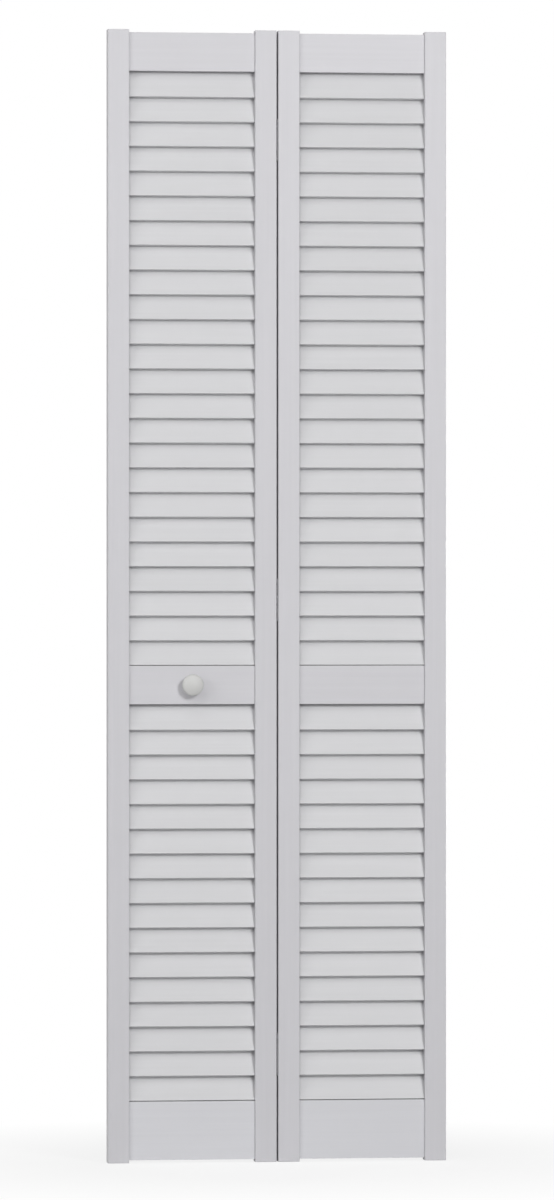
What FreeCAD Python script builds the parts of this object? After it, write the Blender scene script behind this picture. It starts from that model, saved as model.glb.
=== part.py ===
import FreeCAD, Part
import math
import os

# Two-leaf bifold closet door: painted pine stile-and-rail leaves with a bank of fixed, inclined
# louvre slats above and below the middle rail, three non-mortise hinges and one mushroom knob.
#
# All lengths are millimetres. +Z is up, the front of the door faces -Y and +X runs from the lead
# leaf (with the knob) to the pivot leaf. The origin is the middle of the mouth of the bottom pivot
# bore, in the bottom face of the pivot leaf's outer stile, halfway through the door's thickness.

Vector = FreeCAD.Vector

# ---- Driving dimensions: the two leaves ----
DOOR_HEIGHT = 2000.0            # length of the stiles
LEAF_WIDTH = 299.5
LEAF_GAP = 3.0                  # between the two leaves, closed
STILE_WIDTH = 38.0
STILE_THICKNESS = 28.6
STILE_EASE = 1.5                # radius on the long edges of the stiles

# ---- Driving dimensions: the rails ----
RAIL_THICKNESS = 19.0           # thinner than the stiles, so set back at the front and the back
TOP_RAIL_HEIGHT = 68.0
MIDDLE_RAIL_HEIGHT = 67.4
BOTTOM_RAIL_HEIGHT = 103.0
MIDDLE_RAIL_LEVEL = 809.4       # lower edge of the middle rail above the foot of the door
HORN = 4.8                      # stile left standing past the top and the bottom rail
TENON_LENGTH = 11.0
TENON_THICKNESS = 9.5
TENON_SHOULDER = 8.0            # rail left above and below its tenons
TENON_CLEARANCE = 0.1
TENON_END_CLEARANCE = 0.3

# ---- Driving dimensions: the louvre slats ----
SLAT_WIDTH = 47.0
SLAT_THICKNESS = 5.5
SLAT_EASE = 0.6                 # chamfer on the two arrises that show
SLAT_TILT = 17.0                # degrees from upright, upper edge at the back
SLAT_PITCH = 43.6               # nominal; each bay spreads its own slats evenly
SLAT_FOOT_CLEARANCE = 0.2       # lowest slat above the rail below it
SLAT_HEAD_SPACE = 0.2           # highest slat below the rail above it
HOUSING_DEPTH = 6.0             # depth of the inclined slots in the stiles
HOUSING_CLEARANCE = 0.1
HOUSING_END_CLEARANCE = 0.3

# ---- Driving dimensions: the pivot and guide bores ----
PIVOT_INSET = 19.0              # bore axis from the outer edge of its leaf
PIVOT_BORE_RADIUS = 4.75
PIVOT_BORE_DEPTH = 45.0

# ---- Driving dimensions: the hinges ----
HINGE_HEIGHT = 76.2
HINGE_FROM_TOP = 193.3          # middle of the top hinge below the top of the door
HINGE_FROM_BOTTOM = 189.6       # middle of the bottom hinge above the foot of the door
MIDDLE_HINGE_DROP = 4.8         # middle hinge below the point halfway between the other two
PLATE_THICKNESS = 1.5
PLATE_REACH = 22.5              # plate in front of the back of the leaf
PLATE_STRIP = 6.0               # web of the outer plate in front of the inner plate
PLATE_CORNER = 3.0
PLATE_CLEARANCE = 0.3           # inner plate inside the notch of the outer plate
BARREL_RADIUS = 3.0
BARREL_CLEARANCE = 0.5          # barrel behind the back of the leaves
MIDDLE_KNUCKLE = 36.0
KNUCKLE_CLEARANCE = 0.3
PIN_RADIUS = 1.6
PIN_CLEARANCE = 0.05

# ---- Driving dimensions: the wood screws of the hinges ----
SCREW_LENGTH = 16.0
SCREW_RADIUS = 1.75
SCREW_HEAD_RADIUS = 3.15
SCREW_TIP = 4.0
SCREW_CLEARANCE = 0.05
PILOT_SPARE = 0.5               # pilot hole past the tip of the screw
INNER_SCREW_SPACING = 18.0

# ---- Driving dimensions: the knob and its machine screw ----
KNOB_RADIUS = 19.0
KNOB_PROJECTION = 24.4
KNOB_BASE_RADIUS = 9.5
KNOB_NECK_RADIUS = 7.0
KNOB_NECK_LEVEL = 5.0           # narrowest place of the neck in front of the rail
KNOB_RIM_RADIUS = 5.4           # rounding of the head's rim
KNOB_RIM_LEVEL = 15.6           # widest place of the head in front of the rail
KNOB_UNDERCUT = 20.0            # degrees; where the neck runs into the rounding of the rim
KNOB_SCREW_RADIUS = 2.0
KNOB_SCREW_BITE = 11.0          # screw inside the knob
KNOB_SCREW_HEAD_RADIUS = 4.0
KNOB_SCREW_HEAD_HEIGHT = 2.6
KNOB_SCREW_CLEARANCE = 0.05     # in the threaded hole of the knob
KNOB_HOLE_CLEARANCE = 0.3       # in the drilled hole of the rail

# ---- Facets round the turned pieces that are drawn with flats ----
KNOB_SIDES = 36
KNOB_SCREW_SIDES = 16
WOOD_SCREW_SIDES = 8

# ---- Levels and edges that follow ----
PIVOT_OUTER_EDGE = PIVOT_INSET
PIVOT_HINGE_EDGE = PIVOT_OUTER_EDGE - LEAF_WIDTH
HINGE_X = PIVOT_HINGE_EDGE - LEAF_GAP / 2
LEAD_HINGE_EDGE = HINGE_X - LEAF_GAP / 2
LEAD_OUTER_EDGE = LEAD_HINGE_EDGE - LEAF_WIDTH
BAY_WIDTH = LEAF_WIDTH - 2 * STILE_WIDTH

STILE_BACK = STILE_THICKNESS / 2
STILE_FRONT = -STILE_BACK
RAIL_BACK = RAIL_THICKNESS / 2
RAIL_FRONT = -RAIL_BACK

BOTTOM_RAIL_LEVEL = HORN
LOWER_BAY_FOOT = BOTTOM_RAIL_LEVEL + BOTTOM_RAIL_HEIGHT
LOWER_BAY_HEAD = MIDDLE_RAIL_LEVEL
UPPER_BAY_FOOT = MIDDLE_RAIL_LEVEL + MIDDLE_RAIL_HEIGHT
TOP_RAIL_LEVEL = DOOR_HEIGHT - HORN - TOP_RAIL_HEIGHT
UPPER_BAY_HEAD = TOP_RAIL_LEVEL

# (node word, lower edge, height) of each rail
RAILS = (
    ("top", TOP_RAIL_LEVEL, TOP_RAIL_HEIGHT),
    ("middle", MIDDLE_RAIL_LEVEL, MIDDLE_RAIL_HEIGHT),
    ("bottom", BOTTOM_RAIL_LEVEL, BOTTOM_RAIL_HEIGHT),
)
# (node word, foot, head) of each louvred bay
BAYS = (
    ("upper", UPPER_BAY_FOOT, UPPER_BAY_HEAD),
    ("lower", LOWER_BAY_FOOT, LOWER_BAY_HEAD),
)

TOP_HINGE_LEVEL = DOOR_HEIGHT - HINGE_FROM_TOP
BOTTOM_HINGE_LEVEL = HINGE_FROM_BOTTOM
MIDDLE_HINGE_LEVEL = (TOP_HINGE_LEVEL + BOTTOM_HINGE_LEVEL) / 2 - MIDDLE_HINGE_DROP
# (node word, level of the middle of the hinge)
HINGES = (
    ("top", TOP_HINGE_LEVEL),
    ("middle", MIDDLE_HINGE_LEVEL),
    ("bottom", BOTTOM_HINGE_LEVEL),
)

HINGE_Y = STILE_BACK + BARREL_CLEARANCE + BARREL_RADIUS
PLATE_FRONT = STILE_BACK - PLATE_REACH
INNER_PLATE_FRONT = PLATE_FRONT + PLATE_STRIP + PLATE_CLEARANCE
NOTCH_HALF = MIDDLE_KNUCKLE / 2 + KNUCKLE_CLEARANCE
OUTER_SCREW_Z = (NOTCH_HALF + HINGE_HEIGHT / 2) / 2
OUTER_SCREW_Y = (PLATE_FRONT + STILE_BACK) / 2
INNER_SCREW_Z = INNER_SCREW_SPACING / 2
INNER_SCREW_Y = (INNER_PLATE_FRONT + STILE_BACK) / 2

KNOB_X = (LEAD_OUTER_EDGE + LEAD_HINGE_EDGE) / 2
KNOB_Z = MIDDLE_RAIL_LEVEL + MIDDLE_RAIL_HEIGHT / 2

UP = Vector(0, 0, 1)
DOWN = Vector(0, 0, -1)
TO_RIGHT = Vector(1, 0, 0)
TO_LEFT = Vector(-1, 0, 0)
TO_BACK = Vector(0, 1, 0)
TO_FRONT = Vector(0, -1, 0)


# ---- Helpers ----
def block(x0, x1, y0, y1, z0, z1):
    """Box between two opposite corners."""
    return Part.makeBox(x1 - x0, y1 - y0, z1 - z0, Vector(x0, y0, z0))


def polygon(points):
    """Flat face inside a closed polygon."""
    return Part.Face(Part.makePolygon(points + points[:1]))


def one_solid(shape):
    """The single solid inside the result of a boolean."""
    return shape.Solids[0]


def turned(start, into, outline, sides):
    """Solid turned about the axis from start in the direction into, with flats instead of a round
    wall. The outline is a list of (radius, level along the axis), from the foot to the tip."""
    across = into.cross(UP if abs(into.z) < 0.5 else TO_BACK)
    beside = into.cross(across)
    steps = [2 * math.pi * i / sides for i in range(sides)]
    spokes = [across * math.cos(a) + beside * math.sin(a) for a in steps]
    rings = [[start + into * level + s * radius for s in spokes] for radius, level in outline]
    faces = [polygon(rings[0])] if outline[0][0] > 0 else []
    faces += [polygon(rings[-1])] if outline[-1][0] > 0 else []
    for (low, low_ring), (high, high_ring) in zip(zip(outline, rings), zip(outline[1:], rings[1:])):
        for i in range(sides):
            corners = [low_ring[i - 1], low_ring[i]] if low[0] > 0 else [low_ring[i]]
            corners += [high_ring[i], high_ring[i - 1]] if high[0] > 0 else [high_ring[i]]
            faces.append(polygon(corners))
    return Part.makeSolid(Part.makeShell(faces))


def write(node, solids):
    """One STEP file for one node: a single solid, or a group of like ones."""
    shape = solids[0] if len(solids) == 1 else Part.makeCompound(solids)
    shape.exportStep("parts/" + node + ".step")


# ---- Louvre slats ----
def slat_section(clearance, x):
    """Inclined slat section at x, centred on the Z level 0; the front lower arris and the back
    upper arris, the two that show, are eased."""
    tilt = math.radians(SLAT_TILT)
    along = Vector(0, math.sin(tilt), math.cos(tilt))
    out = Vector(0, -math.cos(tilt), math.sin(tilt))
    half_width = SLAT_WIDTH / 2 + clearance
    half_thickness = SLAT_THICKNESS / 2 + clearance
    inner_width = half_width - SLAT_EASE
    inner_thickness = half_thickness - SLAT_EASE
    corners = (
        (-half_width, inner_thickness),
        (-inner_width, half_thickness),
        (half_width, half_thickness),
        (half_width, -inner_thickness),
        (inner_width, -half_thickness),
        (-half_width, -half_thickness),
    )
    middle = Vector(x, 0, 0)
    return polygon([middle + along * a + out * b for a, b in corners])


def slat_levels(foot, head):
    """Levels of the slats' middles in one bay, evenly spread from rail to rail."""
    tilt = math.radians(SLAT_TILT)
    half_height = (SLAT_WIDTH * math.cos(tilt) + SLAT_THICKNESS * math.sin(tilt)) / 2
    first = foot + SLAT_FOOT_CLEARANCE + half_height
    last = head - SLAT_HEAD_SPACE - half_height
    steps = max(1, round((last - first) / SLAT_PITCH))
    return [first + (last - first) * i / steps for i in range(steps + 1)]


def slats(bay_left, foot, head):
    """All slats of one bay, let into both stiles."""
    reach = HOUSING_DEPTH - HOUSING_END_CLEARANCE
    section = slat_section(0, bay_left - reach)
    slat = section.extrude(Vector(BAY_WIDTH + 2 * reach, 0, 0))
    return [slat.translated(UP * level) for level in slat_levels(foot, head)]


# ---- Stiles ----
def housings(inner_edge, into):
    """Inclined slots for the slats, cut from the stile's inner edge in the direction given."""
    section = slat_section(HOUSING_CLEARANCE, inner_edge)
    slot = section.extrude(into * HOUSING_DEPTH)
    cutters = []
    for _, foot, head in BAYS:
        cutters += [slot.translated(UP * level) for level in slat_levels(foot, head)]
    return cutters


def mortises(inner_edge, into):
    """Blind mortises for the stub tenons of the three rails."""
    depth = TENON_LENGTH + TENON_END_CLEARANCE
    bottom_x = inner_edge + into.x * depth
    x0, x1 = sorted((inner_edge, bottom_x))
    half = TENON_THICKNESS / 2 + TENON_CLEARANCE
    inset = TENON_SHOULDER - TENON_CLEARANCE
    return [
        block(x0, x1, -half, half, level + inset, level + height - inset)
        for _, level, height in RAILS
    ]


def stile(left_edge, inner_edge, into):
    """Stile with eased long edges, slat housings and mortises."""
    bar = block(left_edge, left_edge + STILE_WIDTH, STILE_FRONT, STILE_BACK, 0, DOOR_HEIGHT)
    long_edges = [e for e in bar.Edges if abs(e.tangentAt(e.FirstParameter).z) > 0.5]
    bar = bar.makeFillet(STILE_EASE, long_edges)
    return one_solid(bar.cut(housings(inner_edge, into) + mortises(inner_edge, into)))


def pivot_bore(x, mouth_level, into):
    """Blind bore in the end of a stile for a pivot or a guide."""
    return Part.makeCylinder(PIVOT_BORE_RADIUS, PIVOT_BORE_DEPTH, Vector(x, 0, mouth_level), into)


# ---- Rails ----
def rail(bay_left, level, height):
    """Rail with a stub tenon at each end."""
    body = block(bay_left, bay_left + BAY_WIDTH, RAIL_FRONT, RAIL_BACK, level, level + height)
    half = TENON_THICKNESS / 2
    tenons = block(
        bay_left - TENON_LENGTH,
        bay_left + BAY_WIDTH + TENON_LENGTH,
        -half,
        half,
        level + TENON_SHOULDER,
        level + height - TENON_SHOULDER,
    )
    return one_solid(body.fuse(tenons).removeSplitter())


# ---- Wood screws of the hinges ----
def screw_starts(leaf):
    """(middle of the head, direction) of each hinge screw of one leaf, flush in its plate."""
    if leaf == "pivot":
        x, y, z, into = PIVOT_HINGE_EDGE - PLATE_THICKNESS, OUTER_SCREW_Y, OUTER_SCREW_Z, TO_RIGHT
    else:
        x, y, z, into = LEAD_HINGE_EDGE + PLATE_THICKNESS, INNER_SCREW_Y, INNER_SCREW_Z, TO_LEFT
    return [(Vector(x, y, level + side * z), into) for _, level in HINGES for side in (1, -1)]


def screw_seats(leaf):
    """Holes for all hinge screws of one leaf; its plates and its stile share them."""
    return [screw_seat(start, into) for start, into in screw_starts(leaf)]


def wood_screw(start, into):
    """Countersunk wood screw with its flat head at start."""
    outline = (
        (SCREW_HEAD_RADIUS, 0),
        (SCREW_RADIUS, SCREW_HEAD_RADIUS - SCREW_RADIUS),
        (SCREW_RADIUS, SCREW_LENGTH - SCREW_TIP),
        (0, SCREW_LENGTH),
    )
    return turned(start, into, outline, WOOD_SCREW_SIDES)


def screw_seat(start, into):
    """Countersink and pilot hole for a hinge screw, through the plate and into the stile."""
    radius = SCREW_RADIUS + SCREW_CLEARANCE
    outline = (
        (SCREW_HEAD_RADIUS + SCREW_CLEARANCE, 0),
        (radius, SCREW_HEAD_RADIUS - SCREW_RADIUS),
        (radius, SCREW_LENGTH + PILOT_SPARE),
    )
    return turned(start, into, outline, WOOD_SCREW_SIDES)


# ---- Hinges ----
def knuckle(foot, head):
    """Solid length of the hinge's barrel."""
    return Part.makeCylinder(BARREL_RADIUS, head - foot, Vector(HINGE_X, HINGE_Y, foot), UP)


def pin_bore(level):
    """Bore right through the barrel of the hinge at a level."""
    foot = level - HINGE_HEIGHT / 2
    return Part.makeCylinder(PIN_RADIUS + PIN_CLEARANCE, HINGE_HEIGHT, Vector(HINGE_X, HINGE_Y, foot), UP)


def outer_plate(level):
    """Full-height plate on the pivot leaf, notched for the inner plate, with the two end
    knuckles."""
    gap_face = PIVOT_HINGE_EDGE - PLATE_THICKNESS
    foot = level - HINGE_HEIGHT / 2
    head = level + HINGE_HEIGHT / 2
    sheet = block(gap_face, PIVOT_HINGE_EDGE, PLATE_FRONT, HINGE_Y, foot, head)
    front_corners = [
        e for e in sheet.Edges
        if abs(e.tangentAt(e.FirstParameter).x) > 0.5 and e.CenterOfMass.y < INNER_PLATE_FRONT
    ]
    sheet = sheet.makeFillet(PLATE_CORNER, front_corners)
    notch = block(
        gap_face,
        PIVOT_HINGE_EDGE,
        PLATE_FRONT + PLATE_STRIP,
        HINGE_Y,
        level - NOTCH_HALF,
        level + NOTCH_HALF,
    )
    plate = sheet.cut(notch)
    plate = plate.fuse([knuckle(foot, level - NOTCH_HALF), knuckle(level + NOTCH_HALF, head)])
    return one_solid(plate.cut([pin_bore(level)] + screw_seats("pivot")))


def inner_plate(level):
    """Small plate on the lead leaf, inside the outer plate's notch, with the middle knuckle."""
    gap_face = LEAD_HINGE_EDGE + PLATE_THICKNESS
    foot = level - MIDDLE_KNUCKLE / 2
    head = level + MIDDLE_KNUCKLE / 2
    sheet = block(LEAD_HINGE_EDGE, gap_face, INNER_PLATE_FRONT, HINGE_Y, foot, head)
    plate = sheet.fuse(knuckle(foot, head))
    return one_solid(plate.cut([pin_bore(level)] + screw_seats("lead")))


def hinge_pin(level):
    """Tight pin, flush with the ends of the barrel."""
    foot = level - HINGE_HEIGHT / 2
    return Part.makeCylinder(PIN_RADIUS, HINGE_HEIGHT, Vector(HINGE_X, HINGE_Y, foot), UP)


# ---- Knob ----
def at_knob(radius, level):
    """Point of the knob's profile: radius from its axis, level in front of the rail."""
    return Vector(KNOB_X + radius, RAIL_FRONT - level, KNOB_Z)


def knob_outline():
    """Half section of the knob as (radius, level in front of the rail): a waisted neck, a rounded
    rim and a flat dome that leaves the rim without a corner."""
    rim_middle = Vector(KNOB_RADIUS - KNOB_RIM_RADIUS, KNOB_RIM_LEVEL, 0)
    rise = KNOB_PROJECTION - KNOB_RIM_LEVEL
    squares = rise**2 + rim_middle.x**2 - KNOB_RIM_RADIUS**2
    dome_radius = squares / (2 * (rise - KNOB_RIM_RADIUS))
    dome_middle = Vector(0, KNOB_PROJECTION - dome_radius, 0)
    crown_angle = math.asin(rim_middle.x / (dome_radius - KNOB_RIM_RADIUS))
    under_angle = math.radians(KNOB_UNDERCUT)

    def on_circle(middle, radius, angle):
        return middle + Vector(math.sin(angle), math.cos(angle), 0) * radius

    foot = Vector(KNOB_BASE_RADIUS, 0, 0)
    waist = Vector(KNOB_NECK_RADIUS, KNOB_NECK_LEVEL, 0)
    under = on_circle(rim_middle, KNOB_RIM_RADIUS, math.pi + under_angle)
    rim = on_circle(rim_middle, KNOB_RIM_RADIUS, math.pi / 2)
    crown = on_circle(rim_middle, KNOB_RIM_RADIUS, crown_angle)
    dome = on_circle(dome_middle, dome_radius, crown_angle / 2)
    top = Vector(0, KNOB_PROJECTION, 0)
    neck_points = Part.Arc(foot, waist, under).toShape().discretize(6)
    rim_points = Part.Arc(under, rim, crown).toShape().discretize(8)
    dome_points = Part.Arc(crown, dome, top).toShape().discretize(4)
    points = neck_points[:-1] + rim_points[:-1] + dome_points[:-1]
    return [(p.x, p.y) for p in points] + [(0, KNOB_PROJECTION)]


def knob_axis(y):
    """Point on the knob's axis."""
    return Vector(KNOB_X, y, KNOB_Z)


def knob():
    """Turned mushroom knob with a blind threaded hole."""
    body = turned(knob_axis(RAIL_FRONT), TO_FRONT, knob_outline(), KNOB_SIDES)
    radius = KNOB_SCREW_RADIUS + KNOB_SCREW_CLEARANCE
    hole = ((radius, 0), (radius, KNOB_SCREW_BITE + PILOT_SPARE))
    return one_solid(body.cut(turned(knob_axis(RAIL_FRONT), TO_FRONT, hole, KNOB_SCREW_SIDES)))


def knob_screw():
    """Machine screw from the back of the rail into the knob."""
    outline = (
        (KNOB_SCREW_HEAD_RADIUS, -KNOB_SCREW_HEAD_HEIGHT),
        (KNOB_SCREW_HEAD_RADIUS, 0),
        (KNOB_SCREW_RADIUS, 0),
        (KNOB_SCREW_RADIUS, RAIL_THICKNESS + KNOB_SCREW_BITE),
    )
    return turned(knob_axis(RAIL_BACK), TO_FRONT, outline, KNOB_SCREW_SIDES)


def knob_hole():
    """Drilled hole through the middle rail for the knob's screw."""
    radius = KNOB_SCREW_RADIUS + KNOB_HOLE_CLEARANCE
    return turned(knob_axis(RAIL_BACK), TO_FRONT, ((radius, 0), (radius, RAIL_THICKNESS)), KNOB_SCREW_SIDES)


# ---- The two leaves ----
def write_bays(leaf, bay_left):
    """Slats and rails of one leaf, except the middle rail."""
    for word, foot, head in BAYS:
        write(leaf + "_" + word + "_slats", slats(bay_left, foot, head))
    for word, level, height in RAILS:
        piece = rail(bay_left, level, height)
        if (leaf, word) == ("lead", "middle"):
            piece = one_solid(piece.cut(knob_hole()))
        write(leaf + "_" + word + "_rail", [piece])


def write_pivot_leaf():
    """Right leaf: it hangs on the pivots, so its outer stile is bored at both ends."""
    bay_left = PIVOT_HINGE_EDGE + STILE_WIDTH
    write_bays("pivot", bay_left)
    outer = stile(PIVOT_OUTER_EDGE - STILE_WIDTH, PIVOT_OUTER_EDGE - STILE_WIDTH, TO_RIGHT)
    outer = outer.cut([pivot_bore(0, 0, UP), pivot_bore(0, DOOR_HEIGHT, DOWN)])
    write("pivot_outer_stile", [one_solid(outer)])
    inner = stile(PIVOT_HINGE_EDGE, bay_left, TO_LEFT).cut(screw_seats("pivot"))
    write("pivot_hinge_stile", [one_solid(inner)])
    write("pivot_hinge_screws", [wood_screw(*start) for start in screw_starts("pivot")])


def write_lead_leaf():
    """Left leaf: it runs in the track on a guide and carries the knob."""
    bay_left = LEAD_OUTER_EDGE + STILE_WIDTH
    write_bays("lead", bay_left)
    outer = stile(LEAD_OUTER_EDGE, bay_left, TO_LEFT)
    outer = outer.cut(pivot_bore(LEAD_OUTER_EDGE + PIVOT_INSET, DOOR_HEIGHT, DOWN))
    write("lead_outer_stile", [one_solid(outer)])
    inner_edge = LEAD_HINGE_EDGE - STILE_WIDTH
    inner = stile(inner_edge, inner_edge, TO_RIGHT).cut(screw_seats("lead"))
    write("lead_hinge_stile", [one_solid(inner)])
    write("lead_hinge_screws", [wood_screw(*start) for start in screw_starts("lead")])
    write("knob", [knob()])
    write("knob_screw", [knob_screw()])


def write_hinges():
    """Three hinges, each of two plates and a pin."""
    for word, level in HINGES:
        write(word + "_hinge_outer_plate", [outer_plate(level)])
        write(word + "_hinge_inner_plate", [inner_plate(level)])
        write(word + "_hinge_pin", [hinge_pin(level)])


os.makedirs("parts", exist_ok=True)
write_pivot_leaf()
write_lead_leaf()
write_hinges()
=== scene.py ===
import math
import random

import bmesh
import bpy
from bpy.props import FloatProperty, FloatVectorProperty, PointerProperty
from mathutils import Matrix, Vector


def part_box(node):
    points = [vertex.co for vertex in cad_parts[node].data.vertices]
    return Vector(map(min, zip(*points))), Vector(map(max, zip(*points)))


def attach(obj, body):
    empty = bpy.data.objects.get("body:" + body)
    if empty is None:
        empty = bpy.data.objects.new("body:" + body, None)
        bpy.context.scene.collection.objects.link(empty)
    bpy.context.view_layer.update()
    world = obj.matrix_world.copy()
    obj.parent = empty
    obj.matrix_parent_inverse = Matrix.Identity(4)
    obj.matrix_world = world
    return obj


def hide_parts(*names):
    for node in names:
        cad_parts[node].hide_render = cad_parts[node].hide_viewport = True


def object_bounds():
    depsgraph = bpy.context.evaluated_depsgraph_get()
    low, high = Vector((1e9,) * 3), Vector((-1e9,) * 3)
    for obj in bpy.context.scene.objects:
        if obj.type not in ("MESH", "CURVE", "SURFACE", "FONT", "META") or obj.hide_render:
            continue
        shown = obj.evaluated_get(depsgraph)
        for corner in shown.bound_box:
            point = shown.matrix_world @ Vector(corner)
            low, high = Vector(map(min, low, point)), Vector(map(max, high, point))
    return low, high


bl_info = {
    "name": "Louvred Bifold Closet Door",
    "version": (1, 0, 0),
    "blender": (4, 5, 0),
    "location": "View3D > Sidebar > Bifold Door",
    "description": "Fine shapes and finishes of a painted two-leaf louvred closet door",
    "category": "Object",
}

# All lengths are metres. +Z is up, the front of the door faces -Y, and +X runs from the lead leaf,
# with the knob, to the pivot leaf.
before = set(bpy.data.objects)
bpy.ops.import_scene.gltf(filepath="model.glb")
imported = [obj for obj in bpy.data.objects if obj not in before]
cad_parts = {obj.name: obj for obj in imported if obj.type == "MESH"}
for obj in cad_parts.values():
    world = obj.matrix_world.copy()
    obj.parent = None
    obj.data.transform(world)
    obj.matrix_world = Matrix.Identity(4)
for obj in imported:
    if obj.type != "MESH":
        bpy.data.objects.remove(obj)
CAD_LOW, CAD_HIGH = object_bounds()

MM = 0.001
LEAVES = ("lead", "pivot")
BODIES = {"lead": "lead_leaf", "pivot": "pivot_leaf"}
BAYS = ("upper", "lower")
RAILS = ("top", "middle", "bottom")
HINGES = ("top", "middle", "bottom")
X, Z = 0, 2
UP = Vector((0, 0, 1))
FORWARD = Vector((0, -1, 0))
TO_RIGHT = Vector((1, 0, 0))


# ---- Sizes that follow from the CAD door in model.glb ----
def node_low(node):
    """Lowest corner of a CAD node."""
    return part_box(node)[0]


def node_high(node):
    """Highest corner of a CAD node."""
    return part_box(node)[1]


def node_size(node):
    """Lengths of a CAD node's box."""
    return node_high(node) - node_low(node)


def node_middle(node):
    """Middle of a CAD node's box."""
    return (node_high(node) + node_low(node)) / 2


STILE_WIDTH = node_size("pivot_outer_stile").x
STILE_BACK = node_high("pivot_outer_stile").y
RAIL_FRONT = node_low("pivot_middle_rail").y
RAIL_BACK = node_high("pivot_middle_rail").y
HINGE_AXIS = node_middle("middle_hinge_pin")
KNOB_AXIS = node_middle("knob_screw")


def bay(leaf):
    """(left, right) inner edges of the two stiles of a leaf."""
    outer = node_low(leaf + "_outer_stile").x
    inner = node_low(leaf + "_hinge_stile").x
    return min(outer, inner) + STILE_WIDTH, max(outer, inner)


# ---- Fixed values of shapes and finishes ----
# Sides of the round forms.
KNOB_SIDES = 72
HEAD_SIDES = 40
BORE_SIDES = 32
SCREW_SIDES = 24
FLOOR_SIDES = 96
# Steps of the arcs: rounded edge of a board, corner of a plate, neck and dome, rim of the knob.
EDGE_STEPS, CORNER_STEPS, NECK_STEPS, RIM_STEPS = 4, 8, 14, 22
# Edges with more than this angle between their faces stay sharp.
SHARP_ANGLE = math.radians(30)
# A turned form ends in a small flat, given as a share of its radius or as an angle off its axis.
BORE_TIP_SHARE, SCREW_TIP_SHARE, DOME_TIP_ANGLE = 1 / 50, 1 / 20, 0.02
# The long arris at a rail's shoulder is this much finer than at a sawn end.
SHOULDER_SHARE = 1 / 8
# The plates end inside the knuckles, at this share of the barrel's radius from the pin.
PLATE_END_SHARE = 0.7
# Countersunk holes, as shares of the screw's head and shank, and how far a cutter overshoots.
HEAD_HOLE_SHARE, SHANK_HOLE_SHARE, OVERSHOOT = 1.03, 1.05, 0.5 * MM
SEAT_DEPTH = 4 * MM
# Wood screws: depth of the head below the plate's face, and the height and width of its rim.
SCREW_SINK, RIM_HEIGHT, RIM_CHAMFER = 0.1 * MM, 0.2 * MM, 0.15 * MM
# Width and depth of the cross recess in a wood screw and in the knob's screw.
WOOD_RECESS = (3.6 * MM, 1.6 * MM)
KNOB_RECESS = (4.2 * MM, 1.8 * MM)
# Bar of a recess from mouth to floor: share of its depth, and half length and half breadth as
# shares of its width.
RECESS_BAR = ((-0.4, 0.55, 0.13), (0.0, 0.5, 0.12), (1.0, 0.2, 0.07))
# Pan head: share of its height that is domed, angles of the dome's rings, and the rim's chamfer.
PAN_DOME_SHARE = 0.55
PAN_ANGLES = (0.02, 0.3, 0.6, 0.9, 1.2, math.pi / 2)
PAN_CHAMFER = 0.1 * MM
# Floor: radii of its rings in metres, and how far it lies below the door's foot.
FLOOR_RADII = (60.0, 6.0, 0.5)
FLOOR_DROP = 0.5 * MM
SENSOR_MM = 36.0
WHITE = (1, 1, 1, 1)
# Index of refraction of paint films and dry wood.
FILM_IOR = 1.5
# Reach of the painted corner shade in mm, and how dark it is at its darkest. The slats get the
# most.
FRAME_PAINTED_SHADE = (5.0, 0.75)
SLAT_PAINTED_SHADE = (10.0, 0.42)
# Narrow gaps: how far the paint looks for a wall opposite in mm, how much of the room it still
# sees where a gap begins and where it is deepest, and the painted shade and roughness there.
GAP_REACH_MM = 20.0
GAP_SIGHT = (0.05, 0.3)
GAP_PAINTED_SHADE = 0.8
GAP_ROUGHNESS = 0.8
# Middle part of a noise pattern, spread to the full span so that its extremes show.
CONTRAST = (0.3, 0.7)


# ---- Colours ----
def linear(code):
    """Linear colour of an sRGB hex code."""
    shares = [int(code[i:i + 2], 16) / 255 for i in (0, 2, 4)]
    return [s / 12.92 if s <= 0.04045 else ((s + 0.055) / 1.055) ** 2.4 for s in shares]


# ---- What a user would change ----
def length(name, description, default, **limits):
    """Property for a length, in metres."""
    return FloatProperty(
        name=name, description=description, default=default, min=0.0, precision=5,
        subtype="DISTANCE", unit="LENGTH", **limits,
    )


def colour(name, description, code):
    """Property for a colour, with its default as an sRGB hex code."""
    return FloatVectorProperty(
        name=name, description=description, default=linear(code), size=3, min=0.0, max=1.0,
        subtype="COLOR",
    )


def power(name, description, default):
    """Property for the power of a lamp, in watts."""
    return FloatProperty(
        name=name, description=description, default=default, min=0.0, subtype="POWER",
        unit="POWER",
    )


def place(name, description, default):
    """Property for a point, in metres."""
    return FloatVectorProperty(
        name=name, description=description, default=default, size=3, precision=4,
        subtype="TRANSLATION", unit="LENGTH",
    )


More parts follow.
